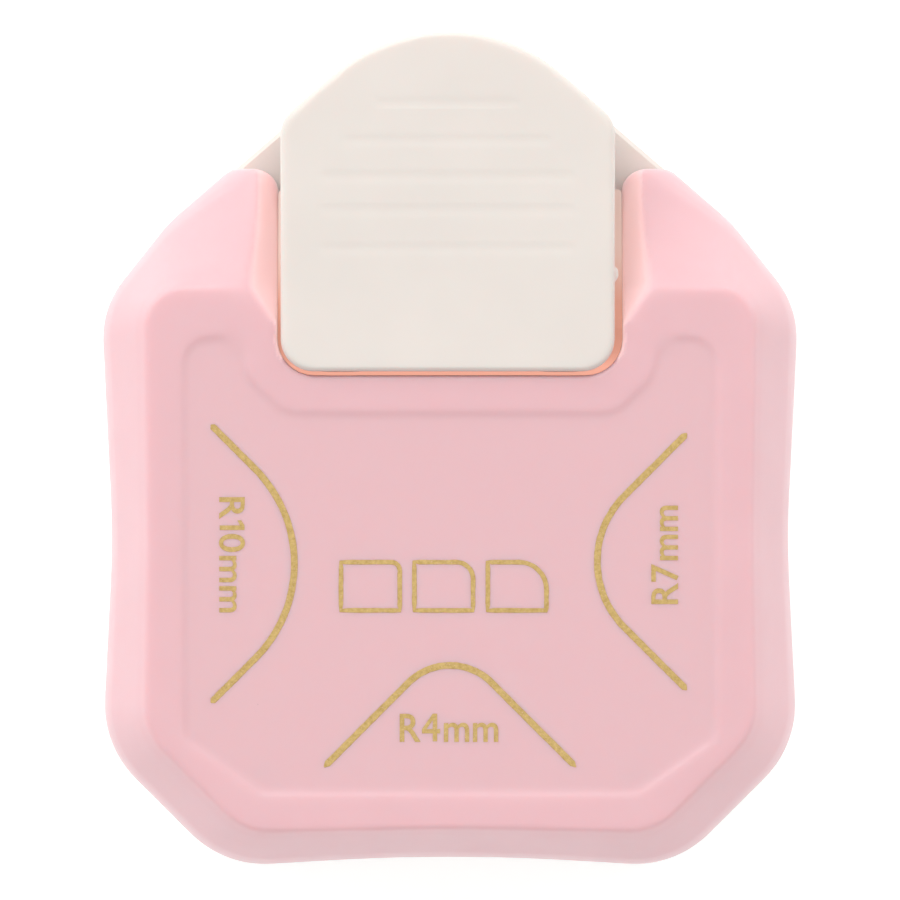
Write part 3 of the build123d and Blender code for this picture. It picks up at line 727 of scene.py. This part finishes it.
# ------------------------------------------------------------------ springs
def coil_spring(name, node, turns=5.5, end_turns=0.9):
    """A compression spring with closed ends, in the room that its CAD solid takes."""
    low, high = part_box(node)
    middle = (low + high) / 2
    wire = 0.25 * MM         # the wire's radius
    coil = (high.x - low.x) / 2 - wire
    wire_sides = 8
    steps_per_turn = 28
    steps = int(turns * steps_per_turn)
    shape = bmesh.new()
    rings = []
    free = high.z - low.z - 2 * wire
    for k in range(steps + 1):
        turn = turns * k / steps
        # the end turns lie flat, and the pitch is even between them
        closed = 2 * wire * min(turn, end_turns) / end_turns
        closed += 2 * wire * max(turn - (turns - end_turns), 0) / end_turns
        open_share = min(max(turn - end_turns, 0) / (turns - 2 * end_turns), 1)
        z = low.z + wire + closed + (free - 4 * wire) * open_share
        out = Vector((cos(2 * pi * turn), sin(2 * pi * turn), 0))
        centre = Vector((middle.x, middle.y, z)) + coil * out
        ring = []
        for m in range(wire_sides):
            around = 2 * pi * m / wire_sides
            ring.append(
                shape.verts.new(
                    centre + wire * (cos(around) * out + sin(around) * Vector((0, 0, 1)))
                )
            )
        rings.append(ring)
    for near, far in zip(rings, rings[1:]):
        for m in range(wire_sides):
            n = (m + 1) % wire_sides
            shape.faces.new((near[m], near[n], far[n], far[m]))
    shape.faces.new(rings[0])
    shape.faces.new(reversed(rings[-1]))
    bmesh.ops.recalc_face_normals(shape, faces=shape.faces)
    mesh = bpy.data.meshes.new(name)
    shape.to_mesh(mesh)
    shape.free()
    smooth_shaded(mesh)
    return new_object(name, mesh, spring_wire)


for side in ("left", "right", "rear"):
    node = "return_spring_" + side
    spring = coil_spring("spring_coil_" + side, node)
    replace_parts(on_root(spring), node)
    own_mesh(spring)

# ------------------------------------------------------------------ finishes of the CAD nodes
finish_of_slot = {
    "body_cream": base_plastic,
    "carrier_grey": carrier_plastic,
    "tool_steel": ground_steel,
    "plated_steel": plated_steel,
    "spring_steel": spring_wire,
    "case_pink": case_plastic,
}
for part in frame["record"]["subparts"]:
    node = nodes[part["node"]]
    finish = finish_of_slot[part["material_slot"]]
    if node.material_slots:
        for place in node.material_slots:
            place.material = finish
    else:
        node.data.materials.append(finish)

# ------------------------------------------------------------------ floor, light and camera
floor_mesh = bpy.data.meshes.new("floor")
reach = 3.0                  # half the floor's width, in metres
floor_gap = 0.02 * MM        # the floor lies this far below the feet
floor_mesh.from_pydata(
    [(-reach, -reach, 0), (reach, -reach, 0), (reach, reach, 0), (-reach, reach, 0)],
    [],
    [(0, 1, 2, 3)],
)
paper_white, _, floor_shader = material_tree("floor_white")
floor_shader.inputs["Base Color"].default_value = (0.78, 0.78, 0.78, 1)
floor_shader.inputs["Roughness"].default_value = 0.9
floor_shader.inputs["Specular IOR Level"].default_value = 0.1
floor_shader.inputs["Emission Color"].default_value = (1, 1, 1, 1)
floor_shader.inputs["Emission Strength"].default_value = 0.45
floor = new_object("floor", floor_mesh, paper_white)
floor.location.z = cad_low.z - floor_gap

scene = bpy.context.scene
world = bpy.data.worlds.new("studio")
world.use_nodes = True
# the studio is brighter behind the object and to its left, darker towards its front
sky = world.node_tree
sky.nodes["Background"].inputs["Color"].default_value = (1, 1, 1, 1)
brightest_way = (-0.14, 0.84, 0.50)
least_light, most_light = 0.28, 1.31
towards = sky.nodes.new("ShaderNodeTexCoord")
facing = sky.nodes.new("ShaderNodeVectorMath")
facing.operation = "DOT_PRODUCT"
facing.inputs[1].default_value = Vector(brightest_way).normalized()
sky.links.new(towards.outputs["Generated"], facing.inputs[0])
brightness = spread(sky, facing.outputs["Value"], least_light, most_light, -1.0, 1.0)
sky.links.new(brightness, sky.nodes["Background"].inputs["Strength"])
scene.world = world
scene.view_settings.view_transform = "Standard"


def soft_light(name, place, size, power):
    """A square soft box that looks at the object."""
    lamp = bpy.data.lights.new(name, "AREA")
    lamp.shape = "SQUARE"
    lamp.size = size
    lamp.energy = power
    holder = bpy.data.objects.new(name, lamp)
    scene.collection.objects.link(holder)
    holder.location = place
    holder.rotation_euler = (-Vector(place)).to_track_quat("-Z", "Y").to_euler()
    return holder


soft_light("key", place=(-0.35, 0.75, 0.75), size=0.7, power=3.5)

view_width = 86.1 * MM
camera_height = 1.5
aim_height = 25 * MM
camera_data = bpy.data.cameras.new("camera")
camera_data.sensor_width = 36
camera_data.lens = camera_data.sensor_width * camera_height / view_width
camera_data.clip_end = 10
camera = bpy.data.objects.new("camera", camera_data)
scene.collection.objects.link(camera)
camera.location = (0, 0, aim_height + camera_height)
scene.camera = camera
